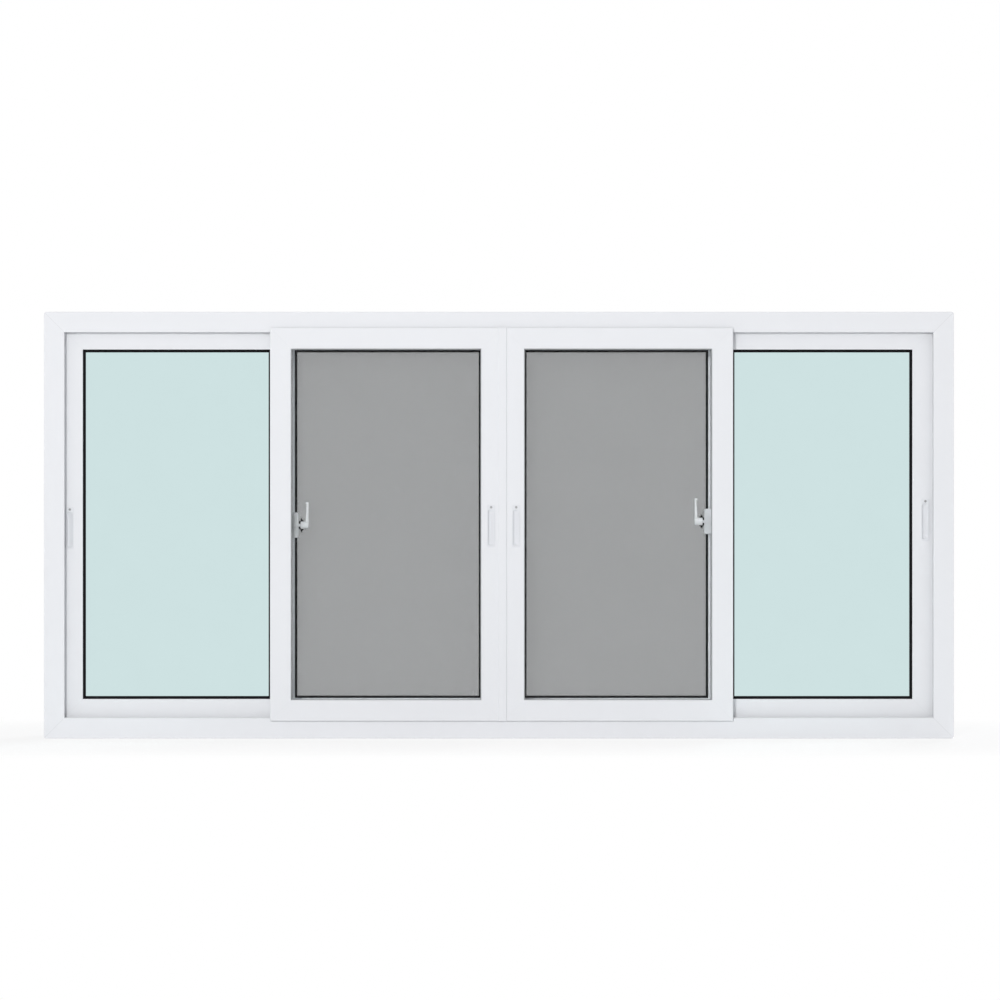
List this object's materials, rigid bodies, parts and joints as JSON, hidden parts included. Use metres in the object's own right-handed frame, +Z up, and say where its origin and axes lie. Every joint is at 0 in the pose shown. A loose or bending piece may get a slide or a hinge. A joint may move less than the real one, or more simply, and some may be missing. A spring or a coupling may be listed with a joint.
{
  "type": "horizontal sliding window",
  "caption": "White uPVC sliding window: glass sashes on two tracks, insect screens on an indoor track, flush pulls and crescent locks.",
  "frame": {"origin": "middle of the sill's underside, at half the frame's depth", "axes": "+X to the right seen from outdoors, +Y indoors, +Z up"},
  "size_m": [2.4, 0.145, 1.125],
  "materials": {
    "upvc": "white satin",
    "pull": "white satin",
    "pane": "clear, pale green",
    "black_seal": "matt",
    "grey_seal": "matt",
    "strip": "mill",
    "nylon": "moulded",
    "mesh": "woven, coated",
    "lock_paint": "satin",
    "lock_lever_paint": "satin",
    "cam_steel": "blackened"
  },
  "bodies": {
    "root": {"centre_astragal": "upvc", "frame_head": "upvc", "frame_left_jamb": "upvc", "frame_right_jamb": "upvc", "frame_sill": "upvc", "left_lock_housing": "lock_paint", "left_lock_keeper": "lock_paint", "left_middle_flush_pull": "pull", "left_middle_glass": "pane", "left_middle_sash_bottom_rail": "upvc", "left_middle_sash_centre_stile": "upvc", "left_middle_sash_lock_stile": "upvc", "left_middle_sash_top_rail": "upvc", "left_outer_flush_pull": "pull", "left_outer_glass": "pane", "left_outer_sash_bottom_rail": "upvc", "left_outer_sash_jamb_stile": "upvc", "left_outer_sash_meeting_stile": "upvc", "left_outer_sash_top_rail": "upvc", "left_screen_mesh": "mesh", "left_screen_rails": "upvc", "left_screen_stiles": "upvc", "middle_sash_beads": "upvc", "middle_sash_gaskets": "grey_seal", "middle_sash_rollers": "nylon", "outer_sash_beads": "upvc", "outer_sash_gaskets": "black_seal", "outer_sash_rollers": "nylon", "right_lock_housing": "lock_paint", "right_lock_keeper": "lock_paint", "right_middle_flush_pull": "pull", "right_middle_glass": "pane", "right_middle_sash_bottom_rail": "upvc", "right_middle_sash_centre_stile": "upvc", "right_middle_sash_lock_stile": "upvc", "right_middle_sash_top_rail": "upvc", "right_outer_flush_pull": "pull", "right_outer_glass": "pane", "right_outer_sash_bottom_rail": "upvc", "right_outer_sash_jamb_stile": "upvc", "right_outer_sash_meeting_stile": "upvc", "right_outer_sash_top_rail": "upvc", "right_screen_mesh": "mesh", "right_screen_rails": "upvc", "right_screen_stiles": "upvc", "screen_glides": "nylon", "screen_splines": "black_seal", "sill_running_strips": "strip", "stile_interlocks": "strip"},
    "left_lock": {"left_lock_cam": "cam_steel", "left_lock_lever": "lock_lever_paint"},
    "right_lock": {"right_lock_cam": "cam_steel", "right_lock_lever": "lock_lever_paint"}
  },
  "joints": [
    {"name": "left_lock_turn", "type": "hinge", "parent": "root", "child": "left_lock", "pos_m": [-0.5295, -0.0285, 0.562], "axis": [-1, 0, 0], "range_deg": [0, 180]},
    {"name": "right_lock_turn", "type": "hinge", "parent": "root", "child": "right_lock", "pos_m": [0.5435, -0.0285, 0.572], "axis": [-1, 0, 0], "range_deg": [0, 180]}
  ]
}
